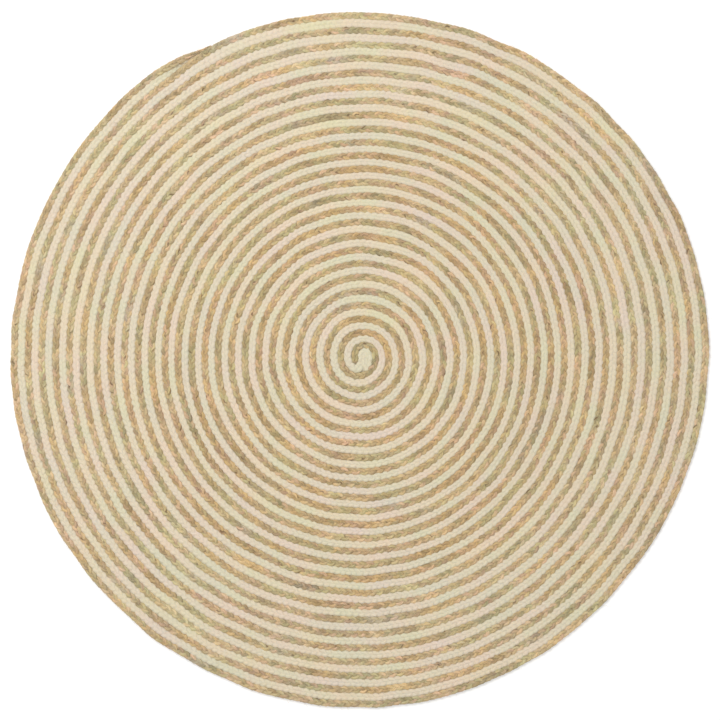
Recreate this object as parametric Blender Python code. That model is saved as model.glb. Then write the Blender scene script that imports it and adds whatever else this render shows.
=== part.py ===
"""Round braided area rug, 1.5 m across.

Two flat braids, one natural and one white, lie side by side and wind outwards together,
clockwise as seen from above. The natural braid starts beside a folded core of the white
one, and it is also the outermost turn. Two sewing threads hold the turns together: one
joins the natural braid to the white one beside it, the other joins each new turn of the
pair to the turn inside it. Each cut braid end is closed by a short thread binding.

Metres, +Z up. The underside lies at z = 0, and the origin is the middle of the underside.
"""

import math

import bpy

# ---- driving dimensions -------------------------------------------------------------
rug_diameter = 1.500
natural_width = 0.0158
natural_thickness = 0.0090
white_width = 0.0129
white_thickness = 0.0080
braid_gap = 0.0003
shoulder = 0.0012            # how far a braid's upper edge steps in on each side
thread_width = 0.0012
thread_depth = 0.0012
thread_top = 0.0062          # height of the seam threads above the floor
binding_length = 0.0090
core_binding_length = 0.0030   # the ends in the middle have less room
end_gap = 0.0003             # between a braid and the binding on its end

# ---- how the turns run --------------------------------------------------------------
first_radius_share = 0.392   # middle of the natural braid at turn 0, in pitches
start_direction = math.radians(236.25)
last_turn_overrun = 0.400    # how far the outer end runs past the mean edge, in turns
polar_start = 11 / 32        # before this turn the natural braid follows its start route
first_white_share = 0.90     # the white braid is squeezed where it rounds the natural end
turn_marks = 32              # points per turn
middle_gap = 0.0022          # the turns lie looser by this much at the middle
middle_gap_turns = 1.0
middle_narrowing = 0.12      # share of width that the first natural turn loses
middle_narrowing_turns = 1.5
first_pair_stitch = 0.75     # where the seam threads begin, in turns
first_coil_stitch = 1.25
white_end_marks = 1          # the white braid ends this many marks before the natural one
closing_marks = 2            # marks over which the white space closes before its end
white_most = 1.12            # the white braid spreads this much where the turns stand apart

# Out-of-round: lobes round the rug, depth at the middle, extra depth per turn, direction.
out_of_round = (
    (1, 0.0024, 0.00027, math.radians(24.0)),
    (2, 0.0011, 0.00010, math.radians(62.0)),
    (3, 0.0000, 0.00006, math.radians(25.0)),
    (4, 0.0000, 0.00008, math.radians(10.0)),
)
# Unevenness of the winding: lobes, depth, the turn where it is deepest, spread, direction.
uneven_winding = (
    (0, -0.0052, 16.2, 5.5, 0.0),
    (0, 0.0010, 25.0, 20.0, 0.0),
    (1, 0.0018, 6.5, 6.0, math.radians(-49.0)),
    (1, 0.0010, 16.0, 5.0, math.radians(-108.0)),
    (1, 0.0014, 23.0, 4.0, math.radians(-29.0)),
    (2, 0.0016, 8.0, 6.0, math.radians(-52.0)),
    (2, 0.0007, 23.0, 5.0, math.radians(-15.0)),
    (3, 0.0014, 11.0, 4.5, math.radians(-38.0)),
)
even_turns = 0.5             # the winding is even up to here
uneven_turns = 2.0           # and fully uneven from here on
middle_lean = 0.0045         # the first turns lean this way round the folded core
middle_lean_direction = math.radians(-8.0)
middle_lean_turns = 2.0
tail_bulge = 0.0097          # the turns inside the outer end swell towards it
tail_bulge_turns = 1.5

# ---- the middle of the rug -----------------------------------------------------------
# x and y from the pole of the spiral, in pitches, then the share of the full width.
natural_start_route = (
    (-0.256, -0.375, 0.48),
    (-0.253, -0.239, 0.79),
    (-0.253, 0.137, 0.80),
    (-0.259, 0.375, 0.82),
)
white_core_route = (
    (0.287, -0.928, 0.30),
    (0.396, -0.833, 0.42),
    (0.488, -0.710, 0.60),
    (0.611, -0.491, 0.85),
    (0.686, -0.205, 0.97),
    (0.700, 0.102, 1.00),
    (0.635, 0.297, 1.00),
    (0.457, 0.420, 1.00),
    (0.273, 0.314, 1.00),
    (0.212, 0.102, 1.00),
    (0.212, -0.307, 1.00),
    (0.123, -0.580, 1.00),
    (-0.102, -0.771, 1.00),
)

pitch = natural_width + white_width + 2 * braid_gap
first_radius = first_radius_share * pitch
turn_share = (rug_diameter / 2 - first_radius - natural_width / 2) / pitch + last_turn_overrun
last_turn = round(turn_share * turn_marks) / turn_marks
white_last_turn = last_turn - 1 - white_end_marks / turn_marks

# ---- colours: base colour, roughness --------------------------------------------------
natural_look = ((0.50, 0.36, 0.20, 1.0), 0.92)
white_look = ((0.74, 0.65, 0.50, 1.0), 0.90)
thread_look = ((0.62, 0.50, 0.34, 1.0), 0.80)
binding_look = ((0.58, 0.46, 0.31, 1.0), 0.80)


def smooth(value):
    """Ease from 0 to 1 as the value goes from 0 to 1."""
    value = min(max(value, 0.0), 1.0)
    return value * value * (3 - 2 * value)


def direction(turn):
    """Direction from the pole at a turn count; the spiral runs clockwise."""
    return start_direction - math.tau * turn


def tail_swell(turn):
    """Share of the tail bulge: it peaks at the outer end's direction, on the turns inside."""
    turns_inside = last_turn - 1 - turn
    if turns_inside < -0.5:
        return 0.0
    whole = max(round(turns_inside), 0)
    ahead = (turns_inside - whole) * turn_marks
    shape = smooth(1 - ahead / 2) if ahead > 0 else smooth(1 + ahead / 3)
    return shape * math.exp(-whole / tail_bulge_turns)


def free_radius(turn):
    """Middle of the natural braid, before the outer end closes in."""
    angle = direction(turn)
    radius = first_radius + pitch * turn
    for lobes, depth, growth, towards in out_of_round:
        radius += (depth + growth * turn) * math.cos(lobes * (angle - towards))
    settled = smooth((turn - even_turns) / (uneven_turns - even_turns))
    for lobes, depth, deepest, spread, towards in uneven_winding:
        here = settled * depth * math.exp(-(((turn - deepest) / spread) ** 2))
        radius += here * math.cos(lobes * (angle - towards))
    lean = middle_lean * math.exp(-((turn / middle_lean_turns) ** 2))
    radius += lean * math.cos(angle - middle_lean_direction)
    return radius + tail_bulge * tail_swell(turn)


def natural_share(turn):
    """Share of the natural braid's full width: it narrows at the middle and the last mark."""
    marks_left = (last_turn - turn) * turn_marks
    full = 1 - middle_narrowing * math.exp(-turn / middle_narrowing_turns)
    return (0.3 + 0.7 * smooth(marks_left)) * full


def side_gap(turn):
    """Gap between the braids: the least one, and a little more at the middle."""
    return braid_gap + middle_gap * math.exp(-turn / middle_gap_turns)


def natural_radius(turn):
    """Middle of the natural braid; near its outer end it closes in on the turn inside."""
    closing = (turn - (white_last_turn + 1)) * turn_marks + closing_marks
    closed = smooth(closing / (closing_marks + white_end_marks))
    if closed == 0.0:
        return free_radius(turn)
    half_widths = (natural_share(turn) + 1) * natural_width / 2
    return free_radius(turn) * (1 - closed) + (
        free_radius(turn - 1) + half_widths + braid_gap
    ) * closed


def white_band(turn):
    """Middle radius and share of full width of the white braid between two natural turns."""
    gap = side_gap(turn)
    inner = natural_radius(turn) + natural_share(turn) * natural_width / 2 + gap
    outer = natural_radius(turn + 1) - natural_share(turn + 1) * natural_width / 2 - gap
    if turn < polar_start:
        inner = outer - white_width * first_white_share
    width = min(outer - inner, white_width * white_most)
    return outer - width / 2, width / white_width


def marks(first, last):
    """Turn counts at the marks from first to last."""
    first_step = round(first * turn_marks)
    last_step = round(last * turn_marks)
    return [step / turn_marks for step in range(first_step, last_step + 1)]


def polar_point(radius, turn, share):
    """A route point from a radius, a turn count and a share of full width."""
    angle = direction(turn)
    return (radius * math.cos(angle), radius * math.sin(angle), share)


def middle_route(shares):
    """Route points in metres from points given in pitches."""
    return [(x * pitch, y * pitch, share) for x, y, share in shares]


def natural_route():
    """Points of the natural braid from its inner end to its outer end."""
    route = middle_route(natural_start_route)
    for turn in marks(polar_start, last_turn):
        route.append(polar_point(natural_radius(turn), turn, natural_share(turn)))
    return route


def white_route():
    """Points of the white braid: the folded core, then between the natural turns."""
    route = middle_route(white_core_route)
    for turn in marks(0.0, white_last_turn):
        radius, share = white_band(turn)
        route.append(polar_point(radius, turn, share))
    return route


def pair_seam_route():
    """The groove between the natural braid and the white braid outside it."""
    route = []
    for turn in marks(first_pair_stitch, white_last_turn):
        edge = natural_radius(turn) + natural_share(turn) * natural_width / 2
        route.append(polar_point(edge + side_gap(turn) / 2, turn, 1.0))
    return route


def coil_seam_route():
    """The groove between each natural turn and what lies inside it."""
    route = []
    for turn in marks(first_coil_stitch, last_turn):
        edge = natural_radius(turn) - natural_share(turn) * natural_width / 2
        route.append(polar_point(edge - side_gap(turn - 1) / 2, turn, 1.0))
    return route


def split_end(route, length):
    """Cut the last stretch of a route off: what stays, and the piece cut off."""
    (x0, y0, s0), (x1, y1, s1) = route[-2:]
    run = math.hypot(x1 - x0, y1 - y0)
    points = []
    for back in (length + end_gap, length):
        part = 1 - back / run
        points.append((x0 + (x1 - x0) * part, y0 + (y1 - y0) * part, s0 + (s1 - s0) * part))
    return route[:-1] + points[:1], points[1:] + route[-1:]


def split_start(route, length):
    """The same at the first point."""
    kept, cut = split_end(route[::-1], length)
    return kept[::-1], cut[::-1]


def centred(route, middle):
    """Move a route so that the rug's middle comes to the origin."""
    return [(x - middle[0], y - middle[1], share) for x, y, share in route]


def rug_middle(route):
    """Middle of the rug's outline, seen from above."""
    outline = []
    for x, y, share in route:
        grow = 1 + share * natural_width / 2 / math.hypot(x, y)
        outline.append((x * grow, y * grow))
    xs = [x for x, y in outline]
    ys = [y for x, y in outline]
    return (min(xs) + max(xs)) / 2, (min(ys) + max(ys)) / 2


def material(name, look):
    """A Principled material with one colour."""
    made = bpy.data.materials.new(name)
    made.use_nodes = True
    shader = made.node_tree.nodes["Principled BSDF"]
    shader.inputs["Base Color"].default_value = look[0]
    shader.inputs["Roughness"].default_value = look[1]
    shader.inputs["Metallic"].default_value = 0.0
    return made


def profile(name, outline, guides):
    """A closed cross-section, listed clockwise: x across the braid, y up."""
    curve = bpy.data.curves.new(name, "CURVE")
    curve.dimensions = "2D"
    curve.fill_mode = "NONE"
    spline = curve.splines.new("POLY")
    spline.points.add(len(outline) - 1)
    for point, (x, y) in zip(spline.points, outline):
        point.co = (x, y, 0.0, 1.0)
    spline.use_cyclic_u = True
    guide = bpy.data.objects.new(name, curve)
    guide.hide_render = True
    guide.display_type = "WIRE"
    guides.objects.link(guide)
    return guide


def swept(name, route, section, look, rug):
    """A closed solid: the section run along a route, with filled ends."""
    curve = bpy.data.curves.new(name, "CURVE")
    curve.dimensions = "3D"
    curve.twist_mode = "Z_UP"
    curve.bevel_mode = "OBJECT"
    curve.bevel_object = section
    curve.use_fill_caps = True
    spline = curve.splines.new("POLY")
    spline.points.add(len(route) - 1)
    for point, (x, y, share) in zip(spline.points, route):
        point.co = (x, y, 0.0, 1.0)
        point.radius = share
    curve.materials.append(material(name, look))
    piece = bpy.data.objects.new(name, curve)
    rug.objects.link(piece)
    return piece


def braid_outline(width, thickness):
    """Flat underside, upper edges stepped in."""
    half = width / 2
    return (
        (-half, 0.0),
        (-half + shoulder, thickness),
        (half - shoulder, thickness),
        (half, 0.0),
    )


def thread_outline():
    """A thread pressed into the groove between two braids: it narrows downwards."""
    half = thread_width / 2
    return ((0.0, thread_top - thread_depth), (-half, thread_top), (half, thread_top))


def build_rug():
    """Make every piece of the rug."""
    for old in list(bpy.data.objects):
        bpy.data.objects.remove(old, do_unlink=True)
    rug = bpy.data.collections.new("area_rug")
    guides = bpy.data.collections.new("guides")
    for group in (rug, guides):
        bpy.context.scene.collection.children.link(group)

    natural_section = profile(
        "natural_section", braid_outline(natural_width, natural_thickness), guides
    )
    white_section = profile("white_section", braid_outline(white_width, white_thickness), guides)
    thread_section = profile("thread_section", thread_outline(), guides)

    middle = rug_middle(natural_route())
    natural, natural_tail = split_end(natural_route(), binding_length)
    natural, natural_start = split_start(natural, core_binding_length)
    white, white_tip = split_end(white_route(), binding_length)
    white, white_start = split_start(white, core_binding_length)

    pieces = (
        ("natural_braid", natural, natural_section, natural_look),
        ("white_braid", white, white_section, white_look),
        ("pair_seam_thread", pair_seam_route(), thread_section, thread_look),
        ("coil_seam_thread", coil_seam_route(), thread_section, thread_look),
        ("natural_start_binding", natural_start, natural_section, binding_look),
        ("natural_tail_binding", natural_tail, natural_section, binding_look),
        ("white_start_binding", white_start, white_section, binding_look),
        ("white_tip_binding", white_tip, white_section, binding_look),
    )
    for name, route, section, look in pieces:
        swept(name, centred(route, middle), section, look, rug)


build_rug()
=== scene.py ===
import math

import bpy
import numpy as np
from bpy.props import (
    FloatProperty,
    FloatVectorProperty,
    IntProperty,
    PointerProperty,
)
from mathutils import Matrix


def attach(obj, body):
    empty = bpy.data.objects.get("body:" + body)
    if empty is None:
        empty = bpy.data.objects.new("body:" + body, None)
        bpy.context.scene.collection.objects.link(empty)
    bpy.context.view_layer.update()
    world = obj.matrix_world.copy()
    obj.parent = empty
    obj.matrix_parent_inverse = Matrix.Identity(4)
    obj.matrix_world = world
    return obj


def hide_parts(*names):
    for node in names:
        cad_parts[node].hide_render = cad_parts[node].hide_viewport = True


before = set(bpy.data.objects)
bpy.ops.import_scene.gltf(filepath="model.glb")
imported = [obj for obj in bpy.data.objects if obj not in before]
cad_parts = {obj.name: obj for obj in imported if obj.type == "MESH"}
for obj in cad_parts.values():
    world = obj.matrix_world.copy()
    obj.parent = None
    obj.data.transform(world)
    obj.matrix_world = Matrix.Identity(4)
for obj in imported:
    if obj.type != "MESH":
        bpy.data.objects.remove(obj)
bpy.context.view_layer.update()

bl_info = {
    "name": "Round braided rug",
    "version": (1, 0, 0),
    "blender": (4, 5, 0),
    "location": "3D View > Sidebar > Braided Rug",
    "description": "Strands, stitches, bindings and loose fibres of a round braided rug",
    "category": "Object",
}

TAU = math.tau
SEED = 20

# How the two braids are laid, as in the CAD: metres, turns and radians.
RUG_DIAMETER = 1.500
NATURAL_WIDTH = 0.0158
WHITE_WIDTH = 0.0129
BRAID_GAP = 0.0003
PITCH = NATURAL_WIDTH + WHITE_WIDTH + 2 * BRAID_GAP
FIRST_RADIUS = 0.392 * PITCH
START_DIRECTION = math.radians(236.25)
TURN_MARKS = 32
FINE_MARKS, FINE_FROM_TURN = 4, 2.0
POLAR_START = 11 / 32
FIRST_WHITE_SHARE = 1.00
MIDDLE_GAP, MIDDLE_GAP_TURNS = 0.0009, 1.0
WHITE_END_MARKS = 1
CLOSING_FROM_MARKS, CLOSED_FROM_MARKS = 1.2, 0.4
WHITE_LEAST, WHITE_MOST = 0.12, 1.40
OUT_OF_ROUND = (
    (1, 0.0024, 0.00027, math.radians(24.0)),
    (2, 0.0011, 0.00010, math.radians(62.0)),
    (3, 0.0000, 0.00006, math.radians(25.0)),
    (4, 0.0000, 0.00008, math.radians(10.0)),
)
UNEVEN_WINDING = (
    (0, -0.0052, 16.2, 5.5, 0.0),
    (0, 0.0010, 25.0, 20.0, 0.0),
    (1, 0.0018, 6.5, 6.0, math.radians(-49.0)),
    (1, 0.0010, 16.0, 5.0, math.radians(-108.0)),
    (1, 0.0014, 23.0, 4.0, math.radians(-29.0)),
    (2, 0.0016, 8.0, 6.0, math.radians(-52.0)),
    (2, 0.0007, 23.0, 5.0, math.radians(-15.0)),
    (3, 0.0014, 11.0, 4.5, math.radians(-38.0)),
)
EVEN_TURNS, UNEVEN_TURNS = 0.5, 2.0
MIDDLE_LEAN, MIDDLE_LEAN_TURNS = 0.0045, 2.0
MIDDLE_LEAN_DIRECTION = math.radians(-8.0)
MIDDLE_NARROWING, MIDDLE_NARROWING_TURNS = 0.04, 1.5
TAIL_BULGE, TAIL_BULGE_TURNS = 0.0097, 1.5
BULGE_RISE_MARKS, BULGE_FALL_MARKS = 1.4, 3.0
TAIL_MARKS, TAIL_TAPER_MARKS, TAIL_SHARE = 0.25, 0.60, 0.12
# The outer end lies a part of a turn further than the diameter alone would give.
EXTRA_TURN = 0.400
TURNS = (RUG_DIAMETER / 2 - FIRST_RADIUS - NATURAL_WIDTH / 2) / PITCH + EXTRA_TURN
LAST_TURN = round(TURNS * TURN_MARKS) / TURN_MARKS
WHITE_LAST_TURN = LAST_TURN - 1 - WHITE_END_MARKS / TURN_MARKS
WHITE_TIP_MARKS = 0.5

# The middle of the rug: x and y from the pole in pitches, then the share of full width.
NATURAL_START = (
    (-0.262, -0.430, 0.66),
    (-0.268, -0.239, 0.98),
    (-0.270, 0.137, 1.02),
    (-0.252, 0.355, 0.98),
)
WHITE_CORE = (
    (0.330, -1.040, 0.40),
    (0.440, -0.900, 0.62),
    (0.540, -0.740, 0.82),
    (0.650, -0.500, 1.00),
    (0.705, -0.205, 1.08),
    (0.700, 0.102, 1.10),
    (0.630, 0.330, 1.10),
    (0.464, 0.430, 1.06),
    (0.290, 0.330, 1.06),
    (0.225, 0.102, 1.10),
    (0.215, -0.307, 1.10),
    (0.123, -0.580, 1.12),
    (-0.102, -0.775, 1.12),
)

# How far the laid braids stray from that, and over what length.
SWAY, SWAY_LENGTH, SWAY_WAVES = 0.0007, 0.085, 14
WANDER_WAVES = 5
LINE_STEP = 0.001

# ---- noise and lines ------------------------------------------------------------------


def smooth(value):
    """Ease from 0 to 1 as the value goes from 0 to 1."""
    value = np.clip(value, 0.0, 1.0)
    return value * value * (3 - 2 * value)


def wander(s, length, seed):
    """Slow hand-made variation along a braid, about -1 to 1, changing over that length."""
    rng = np.random.default_rng(SEED + seed)
    total = np.zeros_like(s)
    for part in range(WANDER_WAVES):
        wave = length * rng.uniform(0.6, 1.9)
        total += math.sqrt(2 / WANDER_WAVES) * np.sin(TAU * s / wave + rng.uniform(0, TAU))
    return total


def sway(points):
    """Move points in the plane a little, neighbours alike, as a hand-sewn rug is uneven."""
    rng = np.random.default_rng(SEED + 500)
    moved = points.copy()
    x, y = points[..., 0], points[..., 1]
    for part in range(SWAY_WAVES):
        angle = rng.uniform(0, TAU)
        wave = SWAY_LENGTH * rng.uniform(0.55, 1.8)
        phase = TAU * (x * math.cos(angle) + y * math.sin(angle)) / wave + rng.uniform(0, TAU)
        push = rng.normal(0, 1, 2) * SWAY / math.sqrt(SWAY_WAVES / 2)
        moved[..., 0] += push[0] * np.sin(phase)
        moved[..., 1] += push[1] * np.sin(phase)
    return moved


# ---- how the turns run ----------------------------------------------------------------


def direction(turn):
    """Direction from the pole at a turn count; the spiral runs clockwise."""
    return START_DIRECTION - TAU * turn


def tail_swell(turn):
    """Share of the tail bulge: it peaks at the outer end's direction, on the turns inside."""
    inside = LAST_TURN - 1 - turn
    whole = np.maximum(np.round(inside), 0)
    ahead = (inside - whole) * TURN_MARKS
    rise = smooth(1 - ahead / BULGE_RISE_MARKS)
    fall = smooth(1 + ahead / BULGE_FALL_MARKS)
    shape = np.where(ahead > 0, rise, fall)
    return np.where(inside < -0.5, 0.0, shape * np.exp(-whole / TAIL_BULGE_TURNS))


def free_radius(turn):
    """Middle of the natural braid, before the outer end closes in."""
    angle = direction(turn)
    radius = FIRST_RADIUS + PITCH * turn
    for lobes, depth, growth, towards in OUT_OF_ROUND:
        radius = radius + (depth + growth * turn) * np.cos(lobes * (angle - towards))
    settled = smooth((turn - EVEN_TURNS) / (UNEVEN_TURNS - EVEN_TURNS))
    for lobes, depth, deepest, spread, towards in UNEVEN_WINDING:
        here = settled * depth * np.exp(-(((turn - deepest) / spread) ** 2))
        radius = radius + here * np.cos(lobes * (angle - towards))
    lean = MIDDLE_LEAN * np.exp(-((turn / MIDDLE_LEAN_TURNS) ** 2))
    radius = radius + lean * np.cos(angle - MIDDLE_LEAN_DIRECTION)
    return radius + TAIL_BULGE * tail_swell(turn)


def natural_share(turn):
    """Share of the natural braid's full width: less at the middle and near the outer end."""
    marks_left = (LAST_TURN - turn) * TURN_MARKS
    full = 1 - MIDDLE_NARROWING * np.exp(-turn / MIDDLE_NARROWING_TURNS)
    taper = smooth((marks_left - TAIL_MARKS) / TAIL_TAPER_MARKS)
    return (TAIL_SHARE + (1 - TAIL_SHARE) * taper) * full


def side_gap(turn):
    """Gap between the braids: the least one, and a little more at the middle."""
    return BRAID_GAP + MIDDLE_GAP * np.exp(-turn / MIDDLE_GAP_TURNS)


def natural_radius(turn):
    """Middle of the natural braid; near its outer end it closes in on the turn inside."""
    marks_left = (LAST_TURN - turn) * TURN_MARKS
    closed = smooth((CLOSING_FROM_MARKS - marks_left) / (CLOSING_FROM_MARKS - CLOSED_FROM_MARKS))
    half_widths = (natural_share(turn) + 1) * NATURAL_WIDTH / 2
    nested = free_radius(turn - 1) + half_widths + BRAID_GAP
    return free_radius(turn) * (1 - closed) + nested * closed


def white_band(turn):
    """Middle radius and share of full width of the white braid between two natural turns."""
    gap = side_gap(turn)
    inner = natural_radius(turn) + natural_share(turn) * NATURAL_WIDTH / 2 + gap
    outer = natural_radius(turn + 1) - natural_share(turn + 1) * NATURAL_WIDTH / 2 - gap
    inner = np.where(turn < POLAR_START, outer - WHITE_WIDTH * FIRST_WHITE_SHARE, inner)
    width = np.clip(outer - inner, WHITE_WIDTH * WHITE_LEAST, WHITE_WIDTH * WHITE_MOST)
    return outer - width / 2, width / WHITE_WIDTH


def marks(first, last):
    """Turn counts at the marks from first to last; past the middle there are more of them."""
    steps = TURN_MARKS * FINE_MARKS
    step = np.arange(round(first * steps), round(last * steps) + 1)
    return step[(step % FINE_MARKS == 0) | (step > FINE_FROM_TURN * steps)] / steps


def polar_points(radius, turn, share):
    """Route points from radii, turn counts and shares of full width."""
    angle = direction(turn)
    share = np.broadcast_to(share, turn.shape)
    return np.stack([radius * np.cos(angle), radius * np.sin(angle), share], 1)


def middle_points(shares):
    """Route points in metres from points given in pitches."""
    return np.array(shares) * (PITCH, PITCH, 1.0)


def natural_route():
    """The natural braid from its inner end to its outer end."""
    turn = marks(POLAR_START, LAST_TURN - TAIL_MARKS / TURN_MARKS)
    spiral = polar_points(natural_radius(turn), turn, natural_share(turn))
    return np.concatenate([middle_points(NATURAL_START), spiral])


def white_route():
    """The white braid: the folded core, then between the natural turns."""
    turn = marks(0.0, WHITE_LAST_TURN + WHITE_TIP_MARKS / TURN_MARKS)
    radius, share = white_band(turn)
    return np.concatenate([middle_points(WHITE_CORE), polar_points(radius, turn, share)])


def pair_seam_route():
    """The groove between the natural braid and the white braid outside it."""
    turn = marks(0.75, WHITE_LAST_TURN)
    edge = natural_radius(turn) + natural_share(turn) * NATURAL_WIDTH / 2
    return polar_points(edge + side_gap(turn) / 2, turn, 1.0)


def coil_seam_route():
    """The groove between each natural turn and what lies inside it."""
    turn = marks(1.25, LAST_TURN - TAIL_MARKS / TURN_MARKS)
    edge = natural_radius(turn) - natural_share(turn) * NATURAL_WIDTH / 2
    return polar_points(edge - side_gap(turn - 1) / 2, turn, 1.0)


def rug_middle():
    """Where the CAD puts the pole: the natural braid's box is centred on the origin."""
    route = natural_route()
    reach = np.hypot(route[:, 0], route[:, 1])
    outline = route[:, :2] * (1 + route[:, 2] * NATURAL_WIDTH / 2 / reach)[:, None]
    return (outline.min(0) + outline.max(0)) / 2


class Line:
    """A smooth line through a route, evenly spaced: places, outward sides and widths."""

    def __init__(self, route, spacing):
        step = np.maximum(np.hypot(*np.diff(route[:, :2], axis=0).T), 1e-9)
        along = np.concatenate([[0.0], np.cumsum(step)])
        fine = np.linspace(0.0, along[-1], int(along[-1] / LINE_STEP))
        curve = np.stack([hermite(along, column, fine) for column in route.T], 1)
        curve[:, :2] -= rug_middle()
        run = np.concatenate([[0.0], np.cumsum(np.hypot(*np.diff(curve[:, :2], axis=0).T))])
        count = int(round(run[-1] / spacing)) + 1
        self.s = np.linspace(0.0, run[-1], count)
        even = np.stack([np.interp(self.s, run, column) for column in curve.T], 1)
        self.share = even[:, 2]
        self.place = sway(even[:, :2])
        along_line = np.gradient(self.place, axis=0)
        along_line /= np.linalg.norm(along_line, axis=1)[:, None]
        self.out = np.stack([-along_line[:, 1], along_line[:, 0]], 1)


def hermite(knots, values, at):
    """A smooth curve through values at uneven knots."""
    slope = np.diff(values) / np.diff(knots)
    gap = np.diff(knots)
    tangent = np.empty_like(values)
    tangent[1:-1] = (slope[:-1] * gap[1:] + slope[1:] * gap[:-1]) / (gap[:-1] + gap[1:])
    tangent[0], tangent[-1] = slope[0], slope[-1]
    i = np.clip(np.searchsorted(knots, at) - 1, 0, len(gap) - 1)
    t = (at - knots[i]) / gap[i]
    before = (2 * t**3 - 3 * t**2 + 1) * values[i] + (t**3 - 2 * t**2 + t) * gap[i] * tangent[i]
    after = (3 * t**2 - 2 * t**3) * values[i + 1] + (t**3 - t**2) * gap[i] * tangent[i + 1]
    return before + after


# ---- meshes ---------------------------------------------------------------------------


def sections(centre, side, up, half_width, half_height, corners, squareness):
    """Rings of points round centre lines: an oval whose seam is underneath."""
    angle = TAU * np.arange(corners) / corners - TAU / 4
    across = np.sign(np.cos(angle)) * np.abs(np.cos(angle)) ** squareness
    upward = np.sign(np.sin(angle)) * np.abs(np.sin(angle)) ** squareness
    across = across * half_width[..., None]
    upward = upward * half_height[..., None]
    rings = centre[..., None, :] + across[..., None] * side[..., None, :]
    return rings + upward[..., None] * up[..., None, :]


def frames(centre):
    """Tangents, level sides (to the left of the run) and ups along centre lines."""
    tangent = np.gradient(centre, axis=-2)
    tangent /= np.linalg.norm(tangent, axis=-1, keepdims=True)
    side = np.stack([-tangent[..., 1], tangent[..., 0], np.zeros(tangent.shape[:-1])], -1)
    side /= np.maximum(np.linalg.norm(side, axis=-1, keepdims=True), 1e-9)
    up = np.cross(tangent, side)
    return tangent, side, up


CELL_EDGE, CELL_SIDE = 0.02, 0.06
CAP_PLACE, CAP_LENGTH, CAP_HEIGHT = 0.008, 0.004, 0.3


def tube_piece(name, rings, along, rows_each, columns, look):
    """A mesh of closed tubes from rings of points, shaped tube, ring, corner, axis.

    The map "fibre" has the length along each tube in metres and the way round it from 0 to 1.
    The map "OFBake" lays the tubes out in separate cells, each tube cut into rows_each parts.
    """
    tubes, count, corners, _ = rings.shape
    vertex = np.arange(tubes * count * corners).reshape(tubes, count, corners)
    turned = np.roll(vertex, -1, axis=2)
    quads = np.stack([vertex[:, :-1], turned[:, :-1], turned[:, 1:], vertex[:, 1:]], -1)
    quads = quads.reshape(-1, 4)
    first_caps = vertex[:, 0, ::-1].reshape(-1, corners)
    last_caps = vertex[:, -1].reshape(-1, corners)

    mesh = bpy.data.meshes.new(name)
    mesh.vertices.add(rings.size // 3)
    mesh.vertices.foreach_set("co", rings.reshape(-1).astype(np.float32))
    loops = np.concatenate([quads.reshape(-1), first_caps.reshape(-1), last_caps.reshape(-1)])
    mesh.loops.add(len(loops))
    mesh.loops.foreach_set("vertex_index", loops.astype(np.int32))
    totals = np.concatenate([np.full(len(quads), 4), np.full(2 * tubes, corners)])
    mesh.polygons.add(len(totals))
    starts = np.concatenate([[0], np.cumsum(totals)[:-1]])
    mesh.polygons.foreach_set("loop_start", starts.astype(np.int32))
    mesh.polygons.foreach_set("loop_total", totals.astype(np.int32))
    mesh.polygons.foreach_set("use_smooth", np.ones(len(totals), bool))

    # Length and way round at the four corners of every quad.
    low, high = np.arange(corners) / corners, (np.arange(corners) + 1) / corners
    around = np.stack([low, high, high, low], -1)
    around = np.broadcast_to(around, (tubes, count - 1, corners, 4))
    start, stop = along[:, :-1], along[:, 1:]
    length = np.stack([start, start, stop, stop], -1)[:, :, None, :]
    length = np.broadcast_to(length, around.shape)
    fibre = np.stack([length, around], -1).reshape(-1, 2)
    cap_start = np.repeat(along[:, :1], corners, 1).reshape(-1)
    cap_stop = np.repeat(along[:, -1:], corners, 1).reshape(-1)
    cap_round = np.tile(low, tubes)
    caps = np.concatenate([
        np.stack([cap_start, cap_round[::-1]], -1), np.stack([cap_stop, cap_round], -1)
    ])
    write_map(mesh, "fibre", np.concatenate([fibre, caps]))

    # Cells for baking: part p of tube t is cell t * rows_each + p, counted along the columns.
    part_rings = math.ceil((count - 1) / rows_each)
    ring = np.arange(count - 1)
    part = ring // part_rings
    cells = tubes * rows_each
    cell_rows = math.ceil(cells / columns)
    cell = np.arange(tubes)[:, None] * rows_each + part
    left, bottom = (cell % columns) / columns, (cell // columns) / cell_rows
    share = (ring - part * part_rings) / part_rings
    span = (1 - 2 * CELL_EDGE) / columns
    x0 = left + CELL_EDGE / columns + share * span
    x1 = x0 + span / part_rings
    across = bottom[..., None, None] + (CELL_SIDE + (1 - 2 * CELL_SIDE) * around) / cell_rows
    lengthways = np.stack([x0, x0, x1, x1], -1)[:, :, None, :]
    lengthways = np.broadcast_to(lengthways, around.shape)
    layout = np.stack([lengthways, across], -1).reshape(-1, 2)
    turn = TAU * np.arange(corners) / corners
    dot = np.stack([np.cos(turn) * CAP_LENGTH / columns, np.sin(turn) * CAP_HEIGHT / cell_rows], -1)
    first = np.stack([left[:, 0] + CAP_PLACE / columns, bottom[:, 0] + 0.5 / cell_rows], -1)
    last = np.stack([left[:, -1] + (1 - CAP_PLACE) / columns, bottom[:, -1] + 0.5 / cell_rows], -1)
    caps = np.concatenate([
        (first[:, None] + dot[::-1]).reshape(-1, 2), (last[:, None] + dot).reshape(-1, 2)
    ])
    write_map(mesh, "OFBake", np.concatenate([layout, caps]))

    mesh.update(calc_edges=True)
    mesh.validate()
    mesh.materials.append(look)
    piece = bpy.data.objects.new(name, mesh)
    bpy.context.scene.collection.objects.link(piece)
    return piece


def write_map(mesh, name, places):
    """Add a map with a place for every face corner."""
    layer = mesh.uv_layers.new(name=name, do_init=False)
    layer.uv.foreach_set("vector", places.astype(np.float32).reshape(-1))


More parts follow.
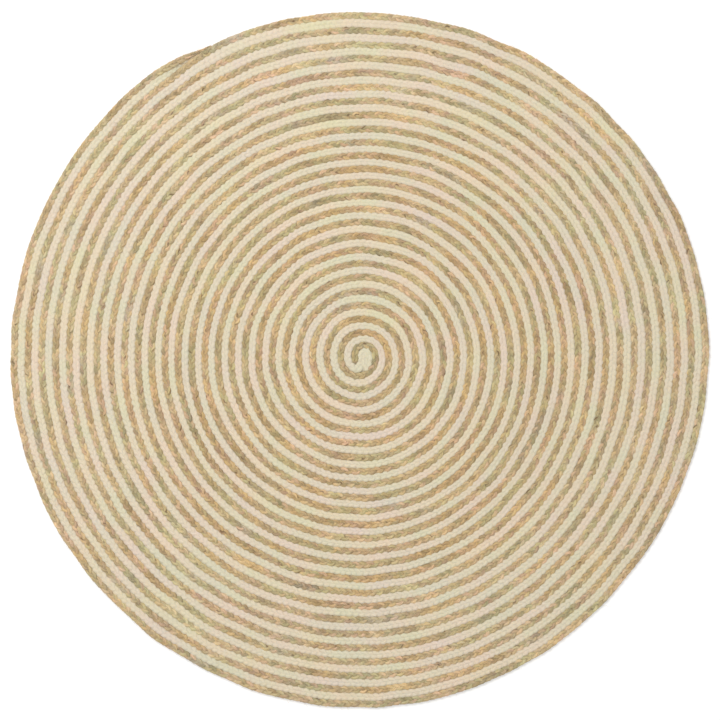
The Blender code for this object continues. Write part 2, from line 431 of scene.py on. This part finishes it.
def settle(piece, nodes):
    """Join a piece to the rug's only body, in place of its CAD nodes."""
    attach(piece, "root")
    if nodes:
        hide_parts(*nodes)


# ---- materials ------------------------------------------------------------------------


FIBRE_FINISH = {
    "Metallic": 0.0,
    "Sheen Roughness": 0.6,
    "Specular IOR Level": 0.25,
    "Subsurface Weight": 0.35,
    "Subsurface Radius": (1.0, 0.8, 0.6),
    "Subsurface Scale": 0.003,
}
NATURAL_LENGTH = 57.0


class Look:
    """A node material in the making: short ways to add the nodes a fibre finish needs."""

    def __init__(self, name, roughness, sheen):
        self.material = bpy.data.materials.new(name)
        self.material.use_nodes = True
        self.tree = self.material.node_tree
        self.shader = self.tree.nodes["Principled BSDF"]
        self.shader.inputs["Roughness"].default_value = roughness
        self.shader.inputs["Sheen Weight"].default_value = sheen
        for socket, value in FIBRE_FINISH.items():
            self.shader.inputs[socket].default_value = value
        uv = self.tree.nodes.new("ShaderNodeUVMap")
        uv.uv_map = "fibre"
        self.fibre = uv.outputs["UV"]

    def link(self, out, into):
        self.tree.links.new(out, into)

    def place(self, scale, shift):
        """The fibre map, scaled and moved."""
        node = self.tree.nodes.new("ShaderNodeMapping")
        node.inputs["Scale"].default_value = scale
        node.inputs["Location"].default_value = shift
        self.link(self.fibre, node.inputs["Vector"])
        return node.outputs["Vector"]

    def noise(self, scale, shift, detail=2.0, roughness=0.55):
        """Noise stretched along the fibre: scale is how often it changes each way."""
        node = self.tree.nodes.new("ShaderNodeTexNoise")
        node.inputs["Scale"].default_value = 1.0
        node.inputs["Detail"].default_value = detail
        node.inputs["Roughness"].default_value = roughness
        self.link(self.place(scale, shift), node.inputs["Vector"])
        return node.outputs["Fac"]

    def ramp(self, value, stops):
        """Colours or greys at places from 0 to 1."""
        node = self.tree.nodes.new("ShaderNodeValToRGB")
        points = node.color_ramp.elements
        while len(points) < len(stops):
            points.new(0.5)
        for point, (place, colour) in zip(points, stops):
            point.position = place
            point.color = colour if len(colour) == 4 else (*colour, 1.0)
        self.link(value, node.inputs["Fac"])
        return node.outputs["Color"]

    def mix(self, share, first, second, blend="MIX"):
        """Two colours mixed; each part is a socket or a plain value."""
        node = self.tree.nodes.new("ShaderNodeMix")
        node.data_type = "RGBA"
        node.blend_type = blend
        node.clamp_factor = True
        sockets = (node.inputs[0], node.inputs[6], node.inputs[7])
        for socket, part in zip(sockets, (share, first, second)):
            if isinstance(part, bpy.types.NodeSocket):
                self.link(part, socket)
            else:
                socket.default_value = part
        return node.outputs[2]

    def shade(self, base, value, *stops):
        """The base colour times a grey or a tint that follows the value."""
        return self.mix(1.0, base, self.ramp(value, stops), "MULTIPLY")

    def patch(self, base, value, start, full, most, colour):
        """The base colour with patches of another one where the value is high."""
        share = self.ramp(value, ((start, grey(0.0)), (full, grey(most))))
        return self.mix(share, base, (*colour, 1.0))

    def along(self, length):
        """How far along the braid, from 0 to 1 over that length."""
        node = self.tree.nodes.new("ShaderNodeSeparateXYZ")
        self.link(self.fibre, node.inputs["Vector"])
        return self.sum((node.outputs["X"], 1.0 / length))

    def sum(self, *parts):
        """Weighted values added: each part is a socket and its weight."""
        total = None
        for value, weight in parts:
            node = self.tree.nodes.new("ShaderNodeMath")
            node.operation = "MULTIPLY_ADD"
            self.link(value, node.inputs[0])
            node.inputs[1].default_value = weight
            node.inputs[2].default_value = 0.0
            if total is not None:
                self.link(total, node.inputs[2])
            total = node.outputs[0]
        return total

    def bump(self, height, strength, depth):
        """Small relief from a height."""
        node = self.tree.nodes.new("ShaderNodeBump")
        node.inputs["Strength"].default_value = strength
        node.inputs["Distance"].default_value = depth
        self.link(height, node.inputs["Height"])
        self.link(node.outputs["Normal"], self.shader.inputs["Normal"])

    def colour(self, out):
        self.link(out, self.shader.inputs["Base Color"])


def times(colour, share):
    """A colour made lighter or darker."""
    return tuple(min(part * share, 1.0) for part in colour[:3])


def grey(value):
    return (value, value, value, 1.0)


def natural_look(colours, seed):
    """Unbleached jute: stretches of five hues, long streaks, dark bark specks."""
    look = Look(f"natural_jute_{seed}", roughness=0.92, sheen=0.08)
    shift = 37.0 * seed
    # The same along all three strands: how the stock changes.
    stock = look.noise((5.0, 0.12, 1.0), (0.0, 0.0, 0.0), detail=3.0, roughness=0.6)
    base = look.ramp(stock, (
        (0.34, colours.natural_grey),
        (0.44, colours.natural_olive),
        (0.50, colours.natural_sand),
        (0.57, colours.natural_golden),
        (0.67, colours.natural_rose),
    ))
    depth = look.noise((3.1, 0.1, 1.0), (19.0, 0.0, 0.0), detail=4.0, roughness=0.62)
    base = look.shade(base, depth, (0.34, grey(0.77)), (0.50, grey(1.0)), (0.66, grey(1.19)))
    # Each strand's own hanks.
    hank = look.noise((30.0, 1.1, 1.0), (shift + 9.0, 3.0, 0.0), detail=2.0)
    base = look.patch(base, hank, 0.44, 0.66, 0.7, colours.natural_golden)
    tint = look.noise((17.0, 0.6, 1.0), (shift + 51.0, 7.0, 0.0), detail=1.0)
    base = look.patch(base, tint, 0.50, 0.68, 0.7, colours.natural_rose)
    moss = look.noise((24.0, 0.8, 1.0), (shift + 83.0, 17.0, 0.0), detail=1.0)
    base = look.patch(base, moss, 0.54, 0.70, 0.6, colours.natural_olive)
    tone = look.noise((26.0, 0.7, 1.0), (shift + 123.0, 5.0, 0.0), detail=2.0, roughness=0.6)
    base = look.shade(base, tone, (0.36, grey(0.78)), (0.50, grey(1.02)), (0.64, grey(1.20)))
    # Streaks, single fibres and specks of bark.
    streak = look.noise((70.0, 16.0, 1.0), (shift, 11.0, 0.0), detail=3.0, roughness=0.6)
    base = look.shade(base, streak, (0.28, grey(0.60)), (0.50, grey(0.98)), (0.72, grey(1.30)))
    fine = look.noise((260.0, 60.0, 1.0), (shift, 23.0, 0.0), detail=2.0, roughness=0.6)
    base = look.shade(base, fine, (0.25, grey(0.80)), (0.75, grey(1.18)))
    bark = look.noise((50.0, 2.0, 1.0), (shift + 77.0, 31.0, 0.0), detail=1.5, roughness=0.5)
    base = look.patch(base, bark, 0.64, 0.72, 0.75, colours.natural_bark)
    # The outer turns are a little paler.
    outwards = look.along(NATURAL_LENGTH)
    look.colour(look.shade(base, outwards, (0.42, grey(1.0)), (0.62, (1.03, 1.06, 1.12))))
    look.bump(look.sum((streak, 0.7), (fine, 0.3)), strength=0.55, depth=0.0006)
    return look.material


def white_look(colours, seed):
    """Bleached jute: soft cream stretches, faint streaks."""
    look = Look(f"white_jute_{seed}", roughness=0.88, sheen=0.10)
    shift = 53.0 * seed
    stock = look.noise((6.0, 0.15, 1.0), (0.0, 0.0, 0.0), detail=3.0, roughness=0.6)
    base = look.ramp(stock, (
        (0.38, colours.white_green),
        (0.50, colours.white_cream),
        (0.62, colours.white_rose),
    ))
    depth = look.noise((3.3, 0.1, 1.0), (19.0, 0.0, 0.0), detail=4.0, roughness=0.6)
    base = look.shade(base, depth, (0.34, (0.975, 0.985, 1.05)), (0.66, (1.04, 1.02, 0.945)))
    streak = look.noise((60.0, 14.0, 1.0), (shift, 11.0, 0.0), detail=3.0, roughness=0.55)
    base = look.shade(base, streak, (0.28, grey(0.94)), (0.72, grey(1.05)))
    fine = look.noise((260.0, 60.0, 1.0), (shift, 23.0, 0.0), detail=2.0, roughness=0.6)
    base = look.shade(base, fine, (0.25, grey(0.95)), (0.75, grey(1.04)))
    husk = look.noise((60.0, 4.0, 1.0), (shift + 77.0, 31.0, 0.0), detail=2.0)
    look.colour(look.patch(base, husk, 0.70, 0.78, 0.5, colours.white_husk))
    look.bump(look.sum((streak, 0.7), (fine, 0.3)), strength=0.35, depth=0.0005)
    return look.material


def thread_look(name, colour, shift):
    """Twisted sewing thread: plies seen as slanting ridges, with painted shade darkening the grooves between
    them.
    """
    look = Look(name, roughness=0.75, sheen=0.06)
    plies = look.tree.nodes.new("ShaderNodeTexWave")
    plies.wave_type = "BANDS"
    plies.bands_direction = "DIAGONAL"
    plies.inputs["Scale"].default_value = 1.0
    plies.inputs["Distortion"].default_value = 0.6
    look.link(look.place((330.0, 2.0, 1.0), (shift, 0.0, 0.0)), plies.inputs["Vector"])
    shade = look.noise((40.0, 1.0, 1.0), (shift, 5.0, 0.0))
    base = look.ramp(shade, ((0.35, times(colour, 0.85)), (0.65, times(colour, 1.12))))
    # Painted shade: the colour is darkest in the grooves between the plies, where the bump is lowest.
    look.colour(look.shade(base, plies.outputs["Fac"], (0.0, grey(0.72)), (0.6, grey(1.05))))
    look.bump(plies.outputs["Fac"], strength=0.6, depth=0.0003)
    return look.material


def fibre_look(name, colour, seed):
    """Single loose fibres, each its own shade."""
    look = Look(name, roughness=0.70, sheen=0.0)
    shade = look.noise((3.0, 0.2, 1.0), (11.0 * seed, 0.0, 0.0), detail=1.0)
    look.colour(look.ramp(shade, ((0.3, times(colour, 0.75)), (0.7, times(colour, 1.25)))))
    return look.material


def floor_look(colour):
    """Matt studio paper."""
    look = bpy.data.materials.new("studio_paper")
    look.use_nodes = True
    shader = look.node_tree.nodes["Principled BSDF"]
    shader.inputs["Base Color"].default_value = (*colour, 1.0)
    shader.inputs["Roughness"].default_value = 0.95
    shader.inputs["Specular IOR Level"].default_value = 0.0
    return look


# ---- sizes and colours a user can change ------------------------------------------------


def metres(name, description, default):
    return FloatProperty(
        name=name, description=description, default=default, min=0.0, precision=5,
        subtype="DISTANCE", unit="LENGTH",
    )


def share(name, description, default):
    return FloatProperty(
        name=name, description=description, default=default, min=0.0, max=1.0, subtype="FACTOR"
    )


def number(name, description, default):
    return IntProperty(name=name, description=description, default=default, min=0)


def place(name, description, default):
    return FloatProperty(
        name=name, description=description, default=default, precision=5,
        subtype="DISTANCE", unit="LENGTH",
    )


def paint(name, description, default):
    return FloatVectorProperty(
        name=name, description=description, default=default, size=3, min=0.0, max=1.0, subtype="COLOR"
    )


class BraidSizes(bpy.types.PropertyGroup):
    """Sizes of one three-strand flat braid."""

    thickness: metres("Thickness", "Height of the braid above the floor", 0.0086)
    cycle: metres("Cycle", "Length over which one strand crosses to the far edge and back", 0.0473)
    swing: metres("Swing", "How far a strand's middle goes to each side of the braid's middle", 0.0043)
    lift: metres("Lift", "How far a strand's middle rises and dips", 0.0017)
    strand_half_width: metres("Strand half width", "Half the strand's width", 0.0037)
    strand_half_height: metres("Strand half height", "Half the strand's height", 0.0027)
    roll: FloatProperty(
        name="Roll", description="How far a strand tips over at the braid's edge",
        default=math.radians(14.0), subtype="ANGLE",
    )
    roundness: share("Roundness", "1 is an oval section, less is boxier", 0.62)
    unevenness: share("Unevenness", "How much the strands' size and pace vary", 0.05)


class ThreadSizes(bpy.types.PropertyGroup):
    """Sizes of the sewing thread."""

    half_width: metres("Half width", "Half the thread's thickness", 0.00055)
    stitch: metres("Stitch", "Length of one stitch to and fro", 0.0125)
    reach: metres("Reach", "How far a stitch goes to each side of the groove", 0.0016)
    height: metres("Height", "Height of the stitches above the floor", 0.0058)
    winding: metres("Winding", "Distance between the turns of a binding", 0.0011)


class FibreSizes(bpy.types.PropertyGroup):
    """Loose fibres that stand off the braids."""

    natural_count: number("Natural fibres", "How many on the natural braid", 5200)
    white_count: number("White fibres", "How many on the white braid", 2200)
    half_width: metres("Half width", "Half a fibre's thickness", 0.00010)
    length: metres("Length", "Mean length of a fibre", 0.013)
    rise: metres("Rise", "How far a fibre stands off the braid", 0.0014)


class RugColours(bpy.types.PropertyGroup):
    """Colours of the jute, the thread and the floor."""

    natural_sand: paint("Natural sand", "Main hue of the natural jute", (0.510, 0.382, 0.222))
    natural_golden: paint("Natural golden", "Golden stretches", (0.505, 0.352, 0.168))
    natural_rose: paint("Natural rose", "Pinkish stretches", (0.560, 0.370, 0.245))
    natural_olive: paint("Natural olive", "Greenish stretches", (0.450, 0.390, 0.205))
    natural_grey: paint("Natural grey", "Grey-brown stretches", (0.425, 0.342, 0.250))
    natural_bark: paint("Natural bark", "Dark specks of bark", (0.150, 0.090, 0.045))
    white_cream: paint("White cream", "Main hue of the bleached jute", (0.665, 0.582, 0.445))
    white_green: paint("White green", "Greenish stretches", (0.635, 0.595, 0.435))
    white_rose: paint("White rose", "Pinkish stretches", (0.690, 0.572, 0.455))
    white_husk: paint("White husk", "Tan specks", (0.520, 0.400, 0.230))
    thread: paint("Thread", "Sewing thread", (0.600, 0.470, 0.290))
    floor: paint("Floor", "Studio paper", (0.97, 0.975, 0.985))


class StageSettings(bpy.types.PropertyGroup):
    """Camera and light."""

    camera_height: metres("Camera height", "Height of the camera above the floor", 4.0)
    view_width: metres("View width", "Width of floor in view", 1.5486)
    view_x: place("View x", "Where the camera stands, along X", 0.0006)
    view_y: place("View y", "Where the camera stands, along Y", -0.0005)
    sky: FloatProperty(name="Sky", description="Strength of the even light all round", default=0.90, min=0.0)
    key: FloatProperty(
        name="Key", description="Power of the large lamp overhead, to the upper left", default=59.0,
        min=0.0, unit="POWER",
    )


class RugSettings(bpy.types.PropertyGroup):
    """Everything a user can change."""

    natural: PointerProperty(name="Natural braid", description="Sizes of the natural braid", type=BraidSizes)
    white: PointerProperty(name="White braid", description="Sizes of the white braid", type=BraidSizes)
    thread: PointerProperty(name="Thread", description="Sizes of the sewing thread", type=ThreadSizes)
    fibres: PointerProperty(name="Fibres", description="Loose fibres", type=FibreSizes)
    colours: PointerProperty(name="Colours", description="Colours", type=RugColours)
    stage: PointerProperty(name="Stage", description="Camera and light", type=StageSettings)


def white_defaults(sizes):
    """The white braid is the same braid, a little narrower and thinner."""
    sizes.thickness = 0.0084
    sizes.cycle = 0.0376
    sizes.swing = 0.0041
    sizes.lift = 0.0006
    sizes.strand_half_width = 0.0045
    sizes.strand_half_height = 0.0032
    sizes.roll = math.radians(9.0)
    sizes.roundness = 0.42
    sizes.unevenness = 0.04


# ---- the braids -------------------------------------------------------------------------

SAMPLES_PER_CYCLE = 12
STRAND_CORNERS = 8
BAKE_ROWS = 64
EDGE_DWELL = 0.20
THIN_POWER = 0.4
PACE_LENGTH, SIZE_LENGTH = 0.35, 0.06
END_LENGTH, END_SHARE = 0.006, 0.35


def braid_strand(line, sizes, strand, seed):
    """Centres and sections of one strand: it swings to and fro, over one and under the next."""
    pace = 1 + sizes.unevenness * wander(line.s, PACE_LENGTH, seed)
    phase = TAU * (np.cumsum(np.gradient(line.s) * pace) / sizes.cycle + strand / 3)
    swing = sizes.swing * (np.sin(phase) + EDGE_DWELL * np.sin(3 * phase)) / (1 - EDGE_DWELL)
    thick = np.clip(line.share, 0.0, 1.0) ** THIN_POWER
    middle = sizes.thickness / 2 * thick
    lift = middle + sizes.lift * thick * np.sin(2 * phase)
    out = np.stack([line.out[:, 0], line.out[:, 1], np.zeros(len(line.s))], 1)
    centre = np.concatenate([line.place, lift[:, None]], 1) + out * (swing * line.share)[:, None]

    _, side, up = frames(centre)
    roll = -sizes.roll * np.sin(phase)
    tipped = side * np.cos(roll)[:, None] + up * np.sin(roll)[:, None]
    raised = up * np.cos(roll)[:, None] - side * np.sin(roll)[:, None]

    own = 1 + sizes.unevenness * wander(line.s, SIZE_LENGTH, seed + 10 + strand)
    end = np.minimum(line.s, line.s[-1] - line.s)
    taper = END_SHARE + (1 - END_SHARE) * np.sqrt(np.clip(end / END_LENGTH, 0.0, 1.0))
    half_width = sizes.strand_half_width * line.share * own * taper
    half_height = sizes.strand_half_height * thick / own * taper
    rings = sections(centre, tipped, raised, half_width, half_height, STRAND_CORNERS, sizes.roundness)
    rings[..., 2] = np.maximum(rings[..., 2], 0.0)
    return rings, line.s


def make_braid(name, route, sizes, looks, nodes, seed):
    """Three strands along a route."""
    line = Line(route, sizes.cycle / SAMPLES_PER_CYCLE)
    for strand in range(3):
        rings, along = braid_strand(line, sizes, strand, seed)
        piece = tube_piece(
            f"{name}_strand_{strand + 1}", rings[None], along[None], BAKE_ROWS, 1, looks[strand]
        )
        settle(piece, nodes)


class RUG_OT_natural_braid(bpy.types.Operator):
    """Lay the natural braid: three strands of unbleached jute"""

    bl_idname = "rug.natural_braid"
    bl_label = "Natural braid"

    def execute(self, context):
        rug = context.scene.braided_rug
        looks = [natural_look(rug.colours, strand) for strand in range(3)]
        make_braid("natural", natural_route(), rug.natural, looks, ["natural_braid"], 1)
        return {"FINISHED"}


class RUG_OT_white_braid(bpy.types.Operator):
    """Lay the white braid: three strands of bleached jute"""

    bl_idname = "rug.white_braid"
    bl_label = "White braid"

    def execute(self, context):
        rug = context.scene.braided_rug
        looks = [white_look(rug.colours, strand) for strand in range(3)]
        make_braid("white", white_route(), rug.white, looks, ["white_braid"], 40)
        return {"FINISHED"}


# ---- seams and bindings -------------------------------------------------------------------

THREAD_CORNERS = 5
POINTS_PER_STITCH, POINTS_PER_WIND = 6, 14
STITCH_RISE, STITCH_DIFFERENCE = 0.0004, 0.002
STITCH_WANDER, STITCH_WANDER_LENGTH = 0.9, 0.08
WINDING_STEP, WINDING_MARGIN = 0.0005, 3
START_BINDING, END_BINDING = 0.0045, 0.0090
WINDING_PRESS, WINDING_ROWS = 0.98, 4


def thread_piece(name, centre, half_width, look, rows):
    """One round thread along a centre line in space."""
    _, side, up = frames(centre)
    half = np.full(len(centre), half_width)
    rings = sections(centre, side, up, half, half, THREAD_CORNERS, 1.0)
    along = np.concatenate([[0.0], np.cumsum(np.linalg.norm(np.diff(centre, axis=0), axis=1))])
    return tube_piece(name, rings[None], along[None], rows, 1, look)


def stitches(name, route, node, rug, look, seed):
    """Thread laced from braid to braid along a groove."""
    sizes = rug.thread
    line = Line(route, sizes.stitch / POINTS_PER_STITCH)
    phase = TAU * line.s / sizes.stitch * (1 + STITCH_DIFFERENCE * seed)
    phase = phase + STITCH_WANDER * wander(line.s, STITCH_WANDER_LENGTH, 70 + seed)
    reach = sizes.reach * np.sin(phase)
    height = sizes.height + STITCH_RISE * np.cos(2 * phase)
    place = line.place + line.out * reach[:, None]
    centre = np.concatenate([place, height[:, None]], 1)
    piece = thread_piece(name, centre, sizes.half_width, look, BAKE_ROWS)
    settle(piece, [node])


class RUG_OT_stitches(bpy.types.Operator):
    """Sew the turns together: one thread in each of the two grooves"""

    bl_idname = "rug.stitches"
    bl_label = "Seam stitches"

    def execute(self, context):
        rug = context.scene.braided_rug
        look = thread_look("seam_thread", rug.colours.thread, 3.0)
        stitches("pair_seam_stitches", pair_seam_route(), "pair_seam_thread", rug, look, 1)
        stitches("coil_seam_stitches", coil_seam_route(), "coil_seam_thread", rug, look, 2)
        return {"FINISHED"}


def winding(end, route, length, width, sizes, rug, look):
    """Thread wound round a braid's end."""
    line = Line(route, WINDING_STEP)
    pick = slice(WINDING_MARGIN, WINDING_MARGIN + int(length / WINDING_STEP))
    place, out, share_of_width = line.place[pick], line.out[pick], line.share[pick]
    turns = max(round(length / rug.thread.winding), 2)
    steps = turns * POINTS_PER_WIND
    at = np.linspace(0, len(place) - 1, steps)
    index = np.arange(len(place))
    x, y = (np.interp(at, index, column) for column in place.T)
    ox, oy = (np.interp(at, index, column) for column in out.T)
    thick = np.clip(np.interp(at, index, share_of_width), 0.0, 1.0)
    angle = TAU * np.arange(steps) / POINTS_PER_WIND
    half_thick = sizes.thickness / 2 * thick**THIN_POWER
    across = (width / 2 * thick) * np.cos(angle)
    clear = rug.thread.half_width * (1 - np.sin(angle)) / 2
    height = half_thick * (1 + WINDING_PRESS * np.sin(angle)) + clear
    centre = np.stack([x + ox * across, y + oy * across, height], 1)
    piece = thread_piece(f"{end}_winding", centre, rug.thread.half_width, look, WINDING_ROWS)
    settle(piece, [f"{end}_binding"])


class RUG_OT_bindings(bpy.types.Operator):
    """Wind thread round the four cut ends of the braids"""

    bl_idname = "rug.bindings"
    bl_label = "End bindings"

    def execute(self, context):
        rug = context.scene.braided_rug
        tan = thread_look("natural_binding_thread", times(rug.colours.natural_sand, 0.95), 9.0)
        cream = thread_look("white_binding_thread", times(rug.colours.white_cream, 0.92), 15.0)
        natural, white = natural_route(), white_route()
        ends = (
            ("natural_start", natural, START_BINDING, NATURAL_WIDTH, rug.natural, tan),
            ("natural_tail", natural[::-1], END_BINDING, NATURAL_WIDTH, rug.natural, tan),
            ("white_start", white, START_BINDING, WHITE_WIDTH, rug.white, cream),
            ("white_tip", white[::-1], END_BINDING, WHITE_WIDTH, rug.white, cream),
        )
        for end, route, length, width, sizes, look in ends:
            winding(end, route, length, width, sizes, rug, look)
        return {"FINISHED"}


# ---- loose fibres -------------------------------------------------------------------------


# Roots are steps of a braid's line; a share of them lies near its outer end, at the edge.
ROOT_STEP, END_STEPS = 0.004, 8
EDGE_FIBRES, EDGE_STEPS = 0.10, 1150
INNER_SIDE, OUTER_SIDE = -0.46, 0.50
FIBRE_SPREAD, FIBRE_SLANT, FIBRE_BEND = 0.45, 0.55, 0.6
EDGE_FALL, FIBRE_SINK, FIBRE_DROP = 0.35, 0.0006, 0.0004
FIBRE_TAPER = np.array([1.0, 1.0, 0.9, 0.7, 0.3])
FIBRE_CORNERS = 3


def loose_fibres(name, route, width, sizes, fibres, count, look, seed):
    """Hairs that leave the braid's face or edge at a shallow slant and lie back down."""
    rng = np.random.default_rng(SEED + seed)
    line = Line(route, ROOT_STEP)
    steps = len(line.s)
    root = rng.integers(END_STEPS, steps - END_STEPS, count)
    outer = rng.uniform(0, 1, count) ** 2
    near_edge = (steps - 1 - END_STEPS - outer * EDGE_STEPS).astype(int)
    root = np.where(rng.uniform(0, 1, count) < EDGE_FIBRES, near_edge, root)
    across = rng.uniform(INNER_SIDE, OUTER_SIDE, count) * width * line.share[root]
    out = line.out[root]
    along = np.stack([out[:, 1], -out[:, 0]], 1)
    start = line.place[root] + out * across[:, None]
    length = fibres.length * rng.lognormal(0.0, FIBRE_SPREAD, count)
    slant = rng.normal(0.0, FIBRE_SLANT, count)
    way = np.where(rng.uniform(0, 1, count) < 0.5, 1.0, -1.0)
    bend = rng.normal(0.0, FIBRE_BEND, count)
    rise = fibres.rise * rng.uniform(0.1, 1.0, count)
    crown = sizes.thickness * (1 - EDGE_FALL * (2 * across / width) ** 2)
    t = np.linspace(0.0, 1.0, len(FIBRE_TAPER))
    turn = slant[:, None] + bend[:, None] * t
    step = length[:, None] / (len(FIBRE_TAPER) - 1)
    forward = way[:, None] * np.cos(turn) * step
    sideways = np.sin(turn) * step
    forward = np.cumsum(forward, 1) - forward[:, :1]
    sideways = np.cumsum(sideways, 1) - sideways[:, :1]
    flat = start[:, None] + along[:, None] * forward[..., None] + out[:, None] * sideways[..., None]
    height = crown[:, None] - FIBRE_SINK + rise[:, None] * np.sin(math.pi * t) - FIBRE_DROP * t
    centre = np.concatenate([flat, height[..., None]], -1)
    _, side, up = frames(centre)
    half = np.broadcast_to(fibres.half_width * FIBRE_TAPER, centre.shape[:2])
    rings = sections(centre, side, up, half, half, FIBRE_CORNERS, 1.0)
    own = np.arange(count)[:, None] * 0.37 + length[:, None] * t
    piece = tube_piece(name, rings, own, 1, math.ceil(math.sqrt(count)), look)
    settle(piece, [])


class RUG_OT_loose_fibres(bpy.types.Operator):
    """Let single fibres stand off both braids"""

    bl_idname = "rug.loose_fibres"
    bl_label = "Loose fibres"

    def execute(self, context):
        rug = context.scene.braided_rug
        tan = fibre_look("natural_fibre", rug.colours.natural_sand, 1)
        cream = fibre_look("white_fibre", rug.colours.white_cream, 2)
        loose_fibres(
            "natural_fibres", natural_route(), NATURAL_WIDTH, rug.natural, rug.fibres,
            rug.fibres.natural_count, tan, 90,
        )
        loose_fibres(
            "white_fibres", white_route(), WHITE_WIDTH, rug.white, rug.fibres,
            rug.fibres.white_count, cream, 91,
        )
        return {"FINISHED"}


# ---- stage ----------------------------------------------------------------------------------

FLOOR_HALF, FLOOR_DROP = 6.0, 0.0004
LAMP_SIZE, LAMP_PLACE = 2.2, (-1.4, 1.5, 3.2)
SENSOR_WIDTH, VIEW_END = 36.0, 50.0


class RUG_OT_stage(bpy.types.Operator):
    """Put down the floor and set up the camera and the studio light"""

    bl_idname = "rug.stage"
    bl_label = "Stage"

    def execute(self, context):
        scene = context.scene
        rug = scene.braided_rug
        stage = rug.stage
        corners = np.array([(-1, -1, 0), (1, -1, 0), (1, 1, 0), (-1, 1, 0)]) * FLOOR_HALF
        mesh = bpy.data.meshes.new("studio_floor")
        mesh.from_pydata(corners.tolist(), [], [(0, 1, 2, 3)])
        mesh.materials.append(floor_look(rug.colours.floor))
        floor = bpy.data.objects.new("studio_floor", mesh)
        floor.location.z = -FLOOR_DROP
        scene.collection.objects.link(floor)

        world = bpy.data.worlds.new("studio")
        world.use_nodes = True
        sky = world.node_tree.nodes["Background"]
        sky.inputs["Color"].default_value = (1.0, 0.995, 0.985, 1.0)
        sky.inputs["Strength"].default_value = stage.sky
        scene.world = world

        lamp = bpy.data.lights.new("studio_key", "AREA")
        lamp.shape = "DISK"
        lamp.size = LAMP_SIZE
        lamp.energy = stage.key
        lamp.color = (1.0, 0.99, 0.97)
        key = bpy.data.objects.new("studio_key", lamp)
        key.location = LAMP_PLACE
        key.rotation_euler = (-key.location).to_track_quat("-Z", "Y").to_euler()
        scene.collection.objects.link(key)

        eye = bpy.data.cameras.new("camera")
        eye.sensor_width = SENSOR_WIDTH
        eye.lens = eye.sensor_width * stage.camera_height / stage.view_width
        eye.clip_end = VIEW_END
        camera = bpy.data.objects.new("camera", eye)
        camera.location = (stage.view_x, stage.view_y, stage.camera_height)
        scene.collection.objects.link(camera)
        scene.camera = camera

        scene.view_settings.view_transform = "Standard"
        scene.view_settings.look = "None"
        return {"FINISHED"}


# ---- add-on -----------------------------------------------------------------------------------

OPERATORS = (
    RUG_OT_stage,
    RUG_OT_natural_braid,
    RUG_OT_white_braid,
    RUG_OT_stitches,
    RUG_OT_bindings,
    RUG_OT_loose_fibres,
)


class RUG_PT_sidebar(bpy.types.Panel):
    """The pieces of the rug, in the order they are made"""

    bl_idname = "RUG_PT_sidebar"
    bl_label = "Braided Rug"
    bl_space_type = "VIEW_3D"
    bl_region_type = "UI"
    bl_category = "Braided Rug"

    def draw(self, context):
        for operator in OPERATORS:
            self.layout.operator(operator.bl_idname)


CLASSES = (
    BraidSizes,
    ThreadSizes,
    FibreSizes,
    RugColours,
    StageSettings,
    RugSettings,
    *OPERATORS,
    RUG_PT_sidebar,
)


def register():
    for cls in CLASSES:
        bpy.utils.register_class(cls)
    bpy.types.Scene.braided_rug = PointerProperty(
        name="Braided rug", description="The rug's settings", type=RugSettings
    )


def unregister():
    del bpy.types.Scene.braided_rug
    for cls in reversed(CLASSES):
        bpy.utils.unregister_class(cls)


def main():
    """Make every piece in order."""
    register()
    white_defaults(bpy.context.scene.braided_rug.white)
    for operator in OPERATORS:
        area, name = operator.bl_idname.split(".")
        getattr(getattr(bpy.ops, area), name)()


if __name__ == "__main__":
    main()
